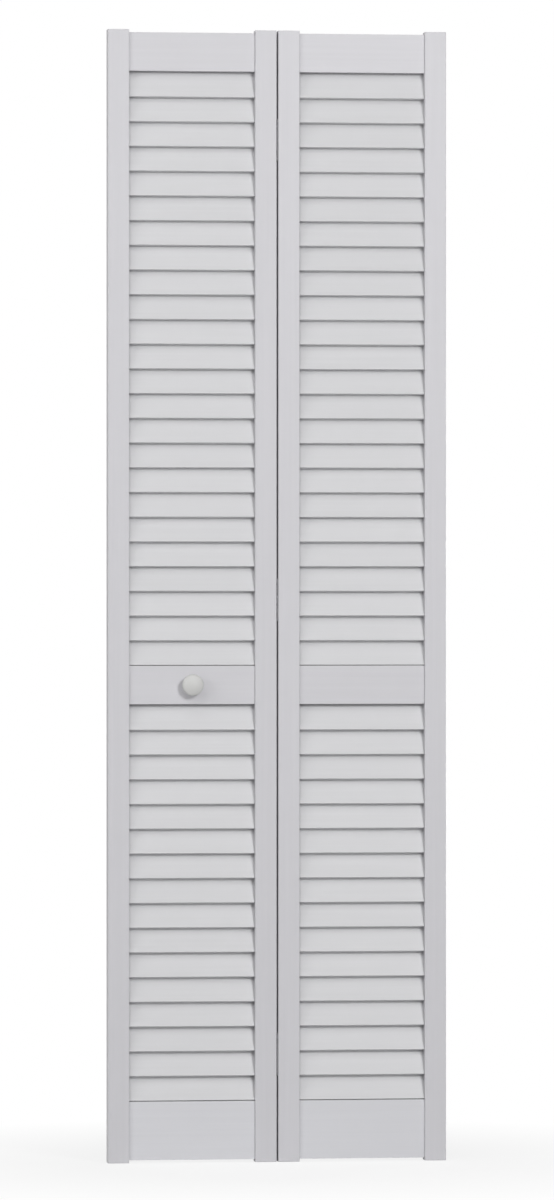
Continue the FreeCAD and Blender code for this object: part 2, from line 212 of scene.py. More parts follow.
class BoardSettings(bpy.types.PropertyGroup):
    """Edges of the boards, and the slats' section and spacing"""
    stile_ease: length("Stile ease", "Radius on the long edges of the stiles", 1.5 * MM)
    rail_ease: length("Rail ease", "Radius on the long edges of the rails", 0.4 * MM)
    end_ease: length("End ease", "Sanded arris round the sawn ends of the boards", 0.4 * MM)
    tenon_length: length("Tenon length", "Stub tenon beyond the shoulder of a rail", 11 * MM)
    tenon_thickness: length("Tenon thickness", "Thickness of the stub tenons", 9.5 * MM)
    tenon_shoulder: length("Tenon shoulder", "Rail left above and below a tenon", 8 * MM)
    slat_width: length("Slat width", "Width of a slat along its slope", 47 * MM)
    slat_thickness: length("Slat thickness", "Thickness of a slat", 5.5 * MM)
    slat_ease: length("Slat ease", "Radius on the long arrises of the slats", 0.5 * MM)
    slat_pitch: length("Slat pitch", "Nominal spacing; a bay spreads its slats evenly", 43.6 * MM)
    slat_tilt: FloatProperty(
        name="Slat tilt", description="Slope from upright, with the upper edge at the back",
        default=math.radians(17), min=0.0, max=math.radians(80), subtype="ANGLE",
    )
    bore_radius: length("Bore radius", "Bores for the pivots and the guide", 4.75 * MM)
    bore_depth: length("Bore depth", "Depth of the bores", 45 * MM)


class KnobSettings(bpy.types.PropertyGroup):
    """Profile of the turned knob"""
    radius: length("Head radius", "Widest radius of the head", 19 * MM)
    base_radius: length("Base radius", "Foot of the neck, on the rail", 9.5 * MM)
    neck_radius: length("Neck radius", "Narrowest radius of the neck", 7 * MM)
    neck_level: length("Neck level", "Narrowest place in front of the rail", 5 * MM)
    rim_radius: length("Rim radius", "Rounding of the head's rim", 5.4 * MM)
    rim_level: length("Rim level", "Widest place in front of the rail", 15.6 * MM)
    undercut: FloatProperty(
        name="Undercut", description="Where the neck runs into the rounding of the rim",
        default=math.radians(20), min=0.0, max=math.radians(80), subtype="ANGLE",
    )
    screw_radius: length("Screw radius", "Machine screw through the rail", 2 * MM)
    screw_head_radius: length("Screw head radius", "Pan head at the back of the rail", 4 * MM)
    screw_head_height: length("Screw head height", "Pan head at the back of the rail", 2.6 * MM)


class HingeSettings(bpy.types.PropertyGroup):
    """Plates, barrels, pins and screws of the hinges"""
    plate_thickness: length("Plate thickness", "Sheet steel of both plates", 1.5 * MM)
    plate_strip: length("Plate strip", "Web of the outer plate in front of the inner plate", 6 * MM)
    plate_corner: length("Plate corner", "Radius on the front corners of the outer plate", 3 * MM)
    plate_ease: length("Plate ease", "Tumbled edge of the sheet steel", 0.2 * MM)
    knuckle_gap: length("Knuckle gap", "Clearance between the knuckles", 0.3 * MM)
    barrel_radius: length("Barrel radius", "Outside of the knuckles", 3 * MM)
    barrel_ease: length("Barrel ease", "Rounding at the ends of the knuckles", 0.3 * MM)
    screw_length: length("Screw length", "Wood screws", 16 * MM)
    screw_radius: length("Screw radius", "Shank of the wood screws", 1.75 * MM)
    screw_head_radius: length("Screw head radius", "Countersunk head", 3.15 * MM)
    screw_tip: length("Screw tip", "Tapered end of the wood screws", 4 * MM)
    screw_spacing: length("Inner screw spacing", "Screws of the inner plate", 18 * MM)


class FinishSettings(bpy.types.PropertyGroup):
    """Colours of the finishes"""
    frame_paint: colour("Frame paint", "Stiles, top and middle rails", "DAD9DD")
    # The bottom rails are painted paler: partly their own tone, partly painted light that lifts the
    # door's dim bottom.
    foot_paint: colour("Foot paint", "Wide bottom rails, from a paler batch of paint", "E2E2E6")
    slat_paint: colour("Slat paint", "Louvre slats", "D9D9DB")
    knob_paint: colour("Knob paint", "Turned knob", "D8D8D6")
    plate_enamel: colour("Plate enamel", "Hinge plates", "D9D9DD")
    bare_pine: colour("Bare pine", "Inside of the bores", "C9A374")
    pin_steel: colour("Pin steel", "Hinge pins", "A8AAAD")
    zinc: colour("Zinc plate", "Screws", "B4B6B8")


class StageSettings(bpy.types.PropertyGroup):
    """Floor, lamps and camera"""
    floor: colour("Floor", "Pale paper, as it shows", "F4F4F4")
    floor_bounce: colour("Floor bounce", "Paper, as it lights the door from below", "CECECE")
    ambient: FloatProperty(
        name="Ambient", description="Even light of the room", default=0.13, min=0.0,
    )
    key_power: power("Key power", "Softbox in front, high on the right", 317.0)
    key_size: length("Key size", "Side of the square softbox", 2.0)
    key_place: place("Key place", "Middle of the softbox", (2.77, -8.0, 3.96))
    top_power: power("Top power", "Wide diffuser above, in front on the left", 168.0)
    top_size: length("Top size", "Side of the diffuser above", 4.5)
    top_place: place("Top place", "Middle of the diffuser above", (-2.4, -6.0, 8.0))
    side_power: power("Side power", "Diffuser beside the door, on the left", 47.0)
    side_size: length("Side size", "Side of the diffuser on the left", 2.0)
    side_place: place("Side place", "Middle of the diffuser on the left", (-4.0, -2.4, 2.2))
    back_power: power("Back power", "Diffuser behind the door, low on the right", 480.0)
    back_size: length("Back size", "Side of the diffuser behind", 1.6)
    back_place: place("Back place", "Middle of the diffuser behind", (5.5, 8.0, 0.8))
    camera_aim: place("Camera aim", "Middle of the picture", (-0.2829, -0.0143, 0.9932))
    camera_distance: length("Camera distance", "From the point aimed at", 12.0)
    camera_turn: FloatProperty(
        name="Camera turn",
        description="To the left of square, so that no light shows through the gap of the leaves",
        default=math.atan(0.1164), min=0.0, max=math.radians(30), subtype="ANGLE",
    )
    field_height: length("Field height", "Height in view at the point aimed at", 2.1214)


# ---- Mesh code ----
def point(along, level, a, b):
    """Point at a level along an axis, with a and b on the two axes that follow it."""
    corner = Vector((0, 0, 0))
    corner[along] = level
    corner[(along + 1) % 3] = a
    corner[(along + 2) % 3] = b
    return corner


def rounded_rectangle(half_a, half_b, radius, steps=EDGE_STEPS):
    """(a, b) points of a rectangle with rounded corners, round its middle."""
    points = []
    for corner, (side_a, side_b) in enumerate(((1, 1), (-1, 1), (-1, -1), (1, -1))):
        for step in range(steps + 1):
            angle = math.pi / 2 * (corner + step / steps)
            a = side_a * (half_a - radius) + radius * math.cos(angle)
            b = side_b * (half_b - radius) + radius * math.sin(angle)
            points.append((a, b))
    return points


def skin(bm, rings, tone=0.5, closed=False):
    """Faces from ring to ring of points. The ends get flat caps, or a closed skin joins the last
    ring to the first. Each face keeps the tone of its board."""
    tones = bm.faces.layers.float.get("board_tone") or bm.faces.layers.float.new("board_tone")
    loops = [[bm.verts.new(corner) for corner in ring] for ring in rings]
    faces = []
    pairs = list(zip(loops, loops[1:])) + ([(loops[-1], loops[0])] if closed else [])
    for low, high in pairs:
        faces += [
            bm.faces.new((low[i - 1], low[i], high[i], high[i - 1])) for i in range(len(low))
        ]
    if not closed:
        faces += [bm.faces.new(loops[0]), bm.faces.new(loops[-1])]
    for face in faces:
        face[tones] = tone
    return faces


def add_board(bm, along, low, high, ease, end_ease, tone):
    """Board between two corners, its long edges and the arrises of its sawn ends eased."""
    first, second = (along + 1) % 3, (along + 2) % 3
    half_a = (high[first] - low[first]) / 2
    half_b = (high[second] - low[second]) / 2
    mid_a = (high[first] + low[first]) / 2
    mid_b = (high[second] + low[second]) / 2
    full = rounded_rectangle(half_a, half_b, ease)
    inner = rounded_rectangle(half_a - end_ease, half_b - end_ease, max(ease - end_ease, ease / 4))
    levels = (
        (low[along], inner),
        (low[along] + end_ease, full),
        (high[along] - end_ease, full),
        (high[along], inner),
    )
    rings = [[point(along, level, mid_a + a, mid_b + b) for a, b in ring] for level, ring in levels]
    skin(bm, rings, tone)


def turned_rings(start, into, outline, sides):
    """Rings of a turned form about the axis from start in the direction into; the outline is a
    list of (radius, level along the axis)."""
    across = into.orthogonal().normalized()
    beside = into.cross(across)
    spokes = [
        across * math.cos(2 * math.pi * i / sides) + beside * math.sin(2 * math.pi * i / sides)
        for i in range(sides)
    ]
    return [
        [start + into * level + spoke * radius for spoke in spokes] for radius, level in outline
    ]


def arc(middle, radius, first, last, steps):
    """(a, b) points of an arc, with angles from the b axis towards the a axis."""
    angles = [first + (last - first) * i / steps for i in range(steps + 1)]
    return [(middle[0] + radius * math.sin(t), middle[1] + radius * math.cos(t)) for t in angles]


def solid(name, bm):
    """New object from mesh code, its faces turned outwards."""
    bmesh.ops.recalc_face_normals(bm, faces=bm.faces)
    mesh = bpy.data.meshes.new(name)
    bm.to_mesh(mesh)
    bm.free()
    piece = bpy.data.objects.new(name, mesh)
    bpy.context.scene.collection.objects.link(piece)
    return piece


def cut(piece, cutters, wall=None):
    """Takes the cutters out of a piece. With a wall material, the cut faces get it."""
    for cutter in cutters:
        if wall:
            cutter.data.materials.append(wall)
        carve = piece.modifiers.new("cut", "BOOLEAN")
        carve.object = cutter
        carve.solver = "EXACT"
        carve.material_mode = "TRANSFER" if wall else "INDEX"
    bpy.context.view_layer.update()
    whole = piece.evaluated_get(bpy.context.evaluated_depsgraph_get())
    carved = bpy.data.meshes.new_from_object(whole)
    piece.modifiers.clear()
    uncut = piece.data
    piece.data = carved
    bpy.data.meshes.remove(uncut)
    carved.name = piece.name
    for cutter in cutters:
        bpy.data.meshes.remove(cutter.data)


def smooth(piece):
    """Rounded faces shade smoothly, and flat ones stay flat up to their eased edges."""
    piece.data.shade_smooth()
    piece.data.set_sharp_from_angle(angle=SHARP_ANGLE)
    flat_faces = piece.modifiers.new("flat faces", "WEIGHTED_NORMAL")
    flat_faces.keep_sharp = True


def fit(piece, body, node, material):
    """The piece rides on its body in place of its CAD node, with its finish."""
    if material.name not in piece.data.materials:
        piece.data.materials.append(material)
    smooth(piece)
    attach(piece, body)
    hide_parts(node)


def tone_of(name):
    """Shade of one board, from 0 to 1, the same on every run."""
    return random.Random(name).random()


# ---- Finishes ----
def add(tree, kind, inputs=None, **settings):
    """Adds a node with its settings. Each input, by name or number, is a value or a link."""
    node = tree.nodes.new(kind)
    for key, value in settings.items():
        setattr(node, key, value)
    for key, value in (inputs or {}).items():
        if isinstance(value, bpy.types.NodeSocket):
            tree.links.new(value, node.inputs[key])
        else:
            node.inputs[key].default_value = value
    return node


def new_material(name):
    """Node material and its empty node tree. One that was made before is made anew."""
    material = bpy.data.materials.get(name) or bpy.data.materials.new(name)
    material.use_nodes = True
    material.node_tree.nodes.clear()
    return material, material.node_tree


def shade(base, factor):
    """Colour scaled in brightness, as RGBA."""
    return [min(1.0, channel * factor) for channel in base] + [1.0]


def per(size_mm):
    """Scale that makes one cell of a pattern as long as a size in millimetres."""
    return 1000 / size_mm


def object_spot(tree):
    """Place on the piece, in metres."""
    return add(tree, "ShaderNodeTexCoord").outputs["Object"]


def noise(tree, spot, cell_mm, **inputs):
    """Noise from 0 to 1. Its cells have one size, or three sizes along the axes."""
    scale = 1.0
    if isinstance(cell_mm, (list, tuple)):
        spot = add(tree, "ShaderNodeMapping", {
            "Vector": spot, "Scale": [per(size) for size in cell_mm],
        }).outputs[0]
    else:
        scale = per(cell_mm)
    values = {"Vector": spot, "Scale": scale, **inputs}
    return add(tree, "ShaderNodeTexNoise", values).outputs["Fac"]


def remap(tree, value, low, high, span=(0.0, 1.0)):
    """Value spread from a span to low and high, and held at both ends."""
    return add(tree, "ShaderNodeMapRange", {
        "Value": value, "From Min": span[0], "From Max": span[1], "To Min": low, "To Max": high,
    }).outputs[0]


def math_of(tree, operation, first, second):
    """Two values multiplied, compared or the like."""
    return add(tree, "ShaderNodeMath", {0: first, 1: second}, operation=operation).outputs[0]


def vector_of(tree, operation, inputs):
    """Node of vector arithmetic."""
    return add(tree, "ShaderNodeVectorMath", inputs, operation=operation)


def colour_mix(tree, factor, first, second):
    """Colour that goes from the first to the second with the factor."""
    return add(tree, "ShaderNodeMix", {
        "Factor": factor, "A": first, "B": second,
    }, data_type="RGBA").outputs["Result"]


def in_sight(tree, reach_mm):
    """Share of the room in sight within a reach: 1 in the open, 0 where walled in."""
    return add(tree, "ShaderNodeAmbientOcclusion", {
        "Distance": reach_mm * MM,
    }, samples=8).outputs["AO"]


def bump(tree, height, strength, depth_mm, normal=None):
    """Relief of a depth, on top of an earlier one."""
    inputs = {"Strength": strength, "Distance": depth_mm * MM, "Height": height}
    if normal is not None:
        inputs["Normal"] = normal
    return add(tree, "ShaderNodeBump", inputs).outputs[0]


def surface(tree, **inputs):
    """The finish itself, from its colour, roughness and relief."""
    values = {key.replace("_", " "): value for key, value in inputs.items()}
    finish = add(tree, "ShaderNodeBsdfPrincipled", values)
    add(tree, "ShaderNodeOutputMaterial", {"Surface": finish.outputs[0]})


def satin_paint_on_pine(name, base, grain_axis, corner_shade):
    """Satin alkyd paint, sprayed over planed pine: an even pale film with a soft, wide highlight.
    The pine's growth rings lift the film a few hundredths of a millimetre, so long faint streaks
    follow the board and each board has its own shade. Painted shade darkens corners and gaps."""
    material, tree = new_material(name)
    spot = object_spot(tree)
    tone = add(tree, "ShaderNodeAttribute", attribute_name="board_tone").outputs["Fac"]
    # Every board is sawn from another place of the log.
    log = vector_of(tree, "MULTIPLY_ADD", {0: tone, 1: (3.1, 3.1, 3.1), 2: spot}).outputs[0]
    # Growth rings of pine are 2 to 4 mm apart; drawn 7 mm apart, as fine as still shows.
    rings_mm = [7.0, 7.0, 7.0]
    rings_mm[grain_axis] = 420.0
    figure = noise(tree, log, rings_mm, Detail=3.0, Roughness=0.6, Distortion=0.4)
    # Raised fibres under the film, 1.2 mm across.
    fibres_mm = [1.2, 1.2, 1.2]
    fibres_mm[grain_axis] = 45.0
    fibre = noise(tree, log, fibres_mm, Detail=2.0, Roughness=0.5)
    # Spray stipple, 0.8 mm, and slow unevenness of the film, 90 mm.
    stipple = noise(tree, spot, 0.8, Detail=1.0)
    cloud = noise(tree, spot, 90, Detail=2.0)
    streak = remap(tree, figure, 0.0, 1.0, CONTRAST)
    film = colour_mix(tree, streak, shade(base, 0.984), shade(base, 1.012))
    board = remap(tree, tone, 0.988, 1.008)
    drift = remap(tree, cloud, 0.994, 1.004, CONTRAST)
    level = math_of(tree, "MULTIPLY", board, drift)
    # Painted shade in the last millimetres of the corners.
    reach_mm, darkest = corner_shade
    corner = remap(tree, in_sight(tree, reach_mm), darkest, 1.0, (0.05, 0.8))
    # Painted shade deep in the narrow gaps, where the paint is also quite matt.
    sight = in_sight(tree, GAP_REACH_MM)
    gap = remap(tree, sight, GAP_PAINTED_SHADE, 1.0, GAP_SIGHT)
    # Both painted shades, of corners and of gaps, darken the paint's colour.
    painted_shade = math_of(tree, "MULTIPLY", corner, gap)
    shown = math_of(tree, "MULTIPLY", level, painted_shade)
    coated = vector_of(tree, "SCALE", {0: film, "Scale": shown}).outputs[0]
    gloss = remap(tree, fibre, 0.40, 0.47, CONTRAST)
    rough = remap(tree, sight, GAP_ROUGHNESS, gloss, GAP_SIGHT)
    lifted = bump(tree, figure, 0.7, 0.14)
    ridged = bump(tree, fibre, 0.6, 0.08, lifted)
    stippled = bump(tree, stipple, 0.25, 0.02, ridged)
    surface(tree, Base_Color=coated, Roughness=rough, IOR=FILM_IOR, Normal=stippled)
    return material


def satin_paint_on_turned_beech(base):
    """Satin paint, dipped over turned beech: smooth and close, with rings of the turning tool just
    felt under the film and a softer, rounder highlight than the boards have."""
    material, tree = new_material("satin_paint_on_turned_beech")
    spot = object_spot(tree)
    off_axis = vector_of(tree, "SUBTRACT", {0: spot, 1: KNOB_AXIS}).outputs[0]
    flat = vector_of(tree, "MULTIPLY", {0: off_axis, 1: (1, 0, 1)}).outputs[0]
    radius = vector_of(tree, "LENGTH", {0: flat}).outputs["Value"]
    # Tool marks every 0.7 mm from the axis outwards.
    marks = add(tree, "ShaderNodeTexNoise", {
        "W": radius, "Scale": per(0.7), "Detail": 1.0,
    }, noise_dimensions="1D").outputs["Fac"]
    # Dipped film, uneven over 12 mm.
    film = noise(tree, spot, 12, Detail=2.0)
    tint = colour_mix(tree, film, shade(base, 0.985), shade(base, 1.012))
    # A little painted shade where the neck meets the rail.
    corner = remap(tree, in_sight(tree, 3.0), 0.93, 1.0, (0.3, 0.9))
    coated = vector_of(tree, "SCALE", {0: tint, "Scale": corner}).outputs[0]
    gloss = remap(tree, film, 0.48, 0.54, CONTRAST)
    ringed = bump(tree, marks, 0.3, 0.02)
    surface(tree, Base_Color=coated, Roughness=gloss, IOR=FILM_IOR, Normal=ringed)
    return material


def enamel_on_pressed_steel(base):
    """Thin stoved enamel on pressed sheet steel: off-white and glossier than the woodwork, with the
    fine orange peel of a stoved film. The steel gleams through, most where the film is rubbed."""
    material, tree = new_material("enamel_on_pressed_steel")
    spot = object_spot(tree)
    # Orange peel, 1.1 mm, and rubbed patches, 9 mm.
    peel = noise(tree, spot, 1.1, Detail=1.0)
    rub = noise(tree, spot, 9, Detail=4.0, Roughness=0.65)
    rubbed = remap(tree, rub, 0.0, 1.0, (0.45, 0.75))
    tint = colour_mix(tree, rubbed, shade(base, 1.0), shade(base, 0.86))
    gloss = remap(tree, rubbed, 0.22, 0.36)
    gleam = remap(tree, rubbed, 0.3, 0.45)
    peeled = bump(tree, peel, 0.3, 0.02)
    surface(tree, Base_Color=tint, Metallic=gleam, Roughness=gloss, Normal=peeled)
    return material


def drawn_metal(name, base, along_mm, roughness):
    """Bright metal drawn or plated: a grey mirror blurred along fine lines, with dull spots."""
    material, tree = new_material(name)
    spot = object_spot(tree)
    # Drawing lines 0.5 mm apart, and spots of 2.5 mm.
    scratch = noise(tree, spot, (0.5, 0.5, along_mm), Detail=2.0)
    spots = noise(tree, spot, 2.5, Detail=3.0)
    tint = colour_mix(tree, spots, shade(base, 0.88), shade(base, 1.08))
    gloss = remap(tree, spots, roughness - 0.06, roughness + 0.08, CONTRAST)
    lined = bump(tree, scratch, 0.3, 0.01)
    surface(tree, Base_Color=tint, Metallic=1.0, Roughness=gloss, Normal=lined)
    return material


def bored_bare_pine(base):
    """Bare pine, bored across its end grain: matt and warm, with darker late-wood rings."""
    material, tree = new_material("bored_bare_pine")
    # Rings 2.2 mm apart that run 40 mm along the bore.
    figure = noise(tree, object_spot(tree), (2.2, 2.2, 40), Detail=3.0, Distortion=0.5)
    tint = colour_mix(tree, figure, shade(base, 0.72), shade(base, 1.15))
    torn = bump(tree, figure, 0.5, 0.1)
    surface(tree, Base_Color=tint, Roughness=0.8, IOR=FILM_IOR, Normal=torn)
    return material


def seen_directly(tree):
    """1 for a ray from the camera, a mirror or clear glass, 0 for light that bounces."""
    path = add(tree, "ShaderNodeLightPath").outputs
    mirror = math_of(tree, "MAXIMUM", path["Is Camera Ray"], path["Is Glossy Ray"])
    return math_of(tree, "MAXIMUM", mirror, path["Is Transmission Ray"])


def matt_paper(base, bounce, middle):
    """Matt seamless paper: keeps the soft shadow of what stands on it, and runs out to white."""
    material, tree = new_material("matt_paper")
    seen = seen_directly(tree)
    paper = add(tree, "ShaderNodeBsdfPrincipled", {
        "Base Color": colour_mix(tree, seen, shade(bounce, 1.0), shade(base, 1.0)),
        "Roughness": 0.9, "Specular IOR Level": 0.1,
    })
    away = vector_of(tree, "DISTANCE", {0: object_spot(tree), 1: middle}).outputs["Value"]
    # Within 0.35 m of the door's middle a fifth of its own shade shows; from 1 m on it is white.
    whiter = remap(tree, away, 0.81, 1.0, (0.35, 1.0))
    white = add(tree, "ShaderNodeEmission", {"Color": WHITE, "Strength": 1.0})
    share = math_of(tree, "MULTIPLY", seen, whiter)
    mixed = add(tree, "ShaderNodeMixShader", {0: share, 1: paper.outputs[0], 2: white.outputs[0]})
    add(tree, "ShaderNodeOutputMaterial", {"Surface": mixed.outputs[0]})
    return material


# ---- Pieces ----
class DOOR_OT_stiles(bpy.types.Operator):
    """Four stiles with eased long edges, bored in the ends for the pivots and the guide"""
    bl_idname = "bifold_door.stiles"
    bl_label = "Stiles"

    def execute(self, context):
        boards = context.scene.door_boards
        finish = context.scene.door_finish
        paint = satin_paint_on_pine(
            "satin_paint_on_pine_stiles", finish.frame_paint, Z, FRAME_PAINTED_SHADE)
        pine = bored_bare_pine(finish.bare_pine)
        for leaf in LEAVES:
            for side in ("outer", "hinge"):
                node = f"{leaf}_{side}_stile"
                low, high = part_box(node)
                bm = bmesh.new()
                add_board(bm, Z, low, high, boards.stile_ease, boards.end_ease, tone_of(node))
                piece = solid(node + "_painted", bm)
                piece.data.materials.append(paint)
                bores = []
                if side == "outer":
                    bore_x = (low.x + high.x) / 2
                    bores.append(self.bore(boards, Vector((bore_x, 0, high.z)), -UP))
                if (leaf, side) == ("pivot", "outer"):
                    bores.append(self.bore(boards, Vector((bore_x, 0, low.z)), UP))
                if bores:
                    cut(piece, bores, pine)
                fit(piece, BODIES[leaf], node, paint)
        return {"FINISHED"}

    def bore(self, boards, mouth, into):
        """Cutter for a blind bore with the cone of a drill point."""
        radius, depth = boards.bore_radius, boards.bore_depth
        tip = radius * BORE_TIP_SHARE
        outline = ((radius, -MM), (radius, depth - radius / 2), (tip, depth))
        bm = bmesh.new()
        skin(bm, turned_rings(mouth, into, outline, BORE_SIDES))
        return solid("bore", bm)


class DOOR_OT_rails(bpy.types.Operator):
    """Six rails, set back between the stiles, with a stub tenon at each end"""
    bl_idname = "bifold_door.rails"
    bl_label = "Rails"

    def execute(self, context):
        boards = context.scene.door_boards
        finish = context.scene.door_finish
        paint = satin_paint_on_pine(
            "satin_paint_on_pine_rails", finish.frame_paint, X, FRAME_PAINTED_SHADE)
        # Paler paint on the bottom rails, partly their own tone and partly painted light.
        paler_paint = satin_paint_on_pine(
            "satin_paint_on_pine_bottom_rails", finish.foot_paint, X, FRAME_PAINTED_SHADE)
        for leaf in LEAVES:
            left, right = bay(leaf)
            for word in RAILS:
                node = f"{leaf}_{word}_rail"
                low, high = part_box(node)
                low.x, high.x = left, right
                half = boards.tenon_thickness / 2
                inset = boards.tenon_shoulder
                tenon_low = Vector((left - boards.tenon_length, -half, low.z + inset))
                tenon_high = Vector((right + boards.tenon_length, half, high.z - inset))
                bm = bmesh.new()
                tone = tone_of(node)
                shoulder_ease = boards.end_ease * SHOULDER_SHARE
                add_board(bm, X, low, high, boards.rail_ease, shoulder_ease, tone)
                add_board(bm, X, tenon_low, tenon_high, boards.rail_ease, boards.end_ease, tone)
                piece = solid(node + "_painted", bm)
                coat = paler_paint if word == "bottom" else paint
                fit(piece, BODIES[leaf], node, coat)
        return {"FINISHED"}


class DOOR_OT_slats(bpy.types.Operator):
    """Four banks of inclined slats, let into the stiles and evenly spread from rail to rail"""
    bl_idname = "bifold_door.slats"
    bl_label = "Slats"

    def execute(self, context):
        boards = context.scene.door_boards
        paint = satin_paint_on_pine(
            "satin_paint_on_pine_slats", context.scene.door_finish.slat_paint, X, SLAT_PAINTED_SHADE)
        tilt = boards.slat_tilt
        up_slope = Vector((0, math.sin(tilt), math.cos(tilt)))
        out = Vector((0, -math.cos(tilt), math.sin(tilt)))
        half_width, half_thickness = boards.slat_width / 2, boards.slat_thickness / 2
        half_height = half_width * math.cos(tilt) + half_thickness * math.sin(tilt)
        section = rounded_rectangle(half_width, half_thickness, boards.slat_ease)
        for leaf in LEAVES:
            for word in BAYS:
                node = f"{leaf}_{word}_slats"
                low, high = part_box(node)
                first, last = low.z + half_height, high.z - half_height
                steps = max(1, round((last - first) / boards.slat_pitch))
                bm = bmesh.new()
                for i in range(steps + 1):
                    level = first + (last - first) * i / steps
                    rings = [
                        [Vector((x, 0, level)) + up_slope * a + out * b for a, b in section]
                        for x in (low.x, high.x)
                    ]
                    skin(bm, rings, tone_of(f"{node}_{i}"))
                piece = solid(node + "_painted", bm)
                fit(piece, BODIES[leaf], node, paint)
        return {"FINISHED"}


class DOOR_OT_knob(bpy.types.Operator):
    """Turned mushroom knob: a waisted neck, a rounded rim and a low dome"""
    bl_idname = "bifold_door.knob"
    bl_label = "Knob"

    def execute(self, context):
        sizes = context.scene.door_knob
        paint = satin_paint_on_turned_beech(context.scene.door_finish.knob_paint)
        projection = RAIL_FRONT - node_low("knob").y
        foot = Vector((KNOB_AXIS.x, RAIL_FRONT, KNOB_AXIS.z))
        bm = bmesh.new()
        skin(bm, turned_rings(foot, FORWARD, self.outline(sizes, projection), KNOB_SIDES))
        piece = solid("knob_painted", bm)
        fit(piece, "lead_leaf", "knob", paint)
        return {"FINISHED"}

    def outline(self, sizes, projection):
        """(radius, level in front of the rail) from the foot of the neck to the top of the dome."""
        rim = (sizes.radius - sizes.rim_radius, sizes.rim_level)
        rise = projection - sizes.rim_level
        dome_radius = (rise**2 + rim[0]**2 - sizes.rim_radius**2) / (2 * (rise - sizes.rim_radius))
        crown = math.asin(rim[0] / (dome_radius - sizes.rim_radius))
        # The neck's section is a circle through its foot, its waist and the start of the rounding.
        (x1, y1), (x2, y2) = (sizes.base_radius, 0), (sizes.neck_radius, sizes.neck_level)
        x3 = rim[0] - sizes.rim_radius * math.sin(sizes.undercut)
        y3 = rim[1] - sizes.rim_radius * math.cos(sizes.undercut)
        twice = 2 * (x1 * (y2 - y3) + x2 * (y3 - y1) + x3 * (y1 - y2))
        s1, s2, s3 = x1**2 + y1**2, x2**2 + y2**2, x3**2 + y3**2
        neck_x = (s1 * (y2 - y3) + s2 * (y3 - y1) + s3 * (y1 - y2)) / twice
        neck_y = (s1 * (x3 - x2) + s2 * (x1 - x3) + s3 * (x2 - x1)) / twice
        neck_radius = math.hypot(x1 - neck_x, y1 - neck_y)
        start = math.atan2(x1 - neck_x, y1 - neck_y) % (2 * math.pi)
        end = math.atan2(x3 - neck_x, y3 - neck_y) % (2 * math.pi)
        neck = arc((neck_x, neck_y), neck_radius, start, end, NECK_STEPS)
        dome_middle = (0, projection - dome_radius)
        dome = arc(dome_middle, dome_radius, crown, DOME_TIP_ANGLE, NECK_STEPS)
        under_head = [(x3, y3)]
        rounding = arc(rim, sizes.rim_radius, math.pi + sizes.undercut, crown, RIM_STEPS)
        return neck[:-1] + under_head + rounding[1:] + dome[1:]


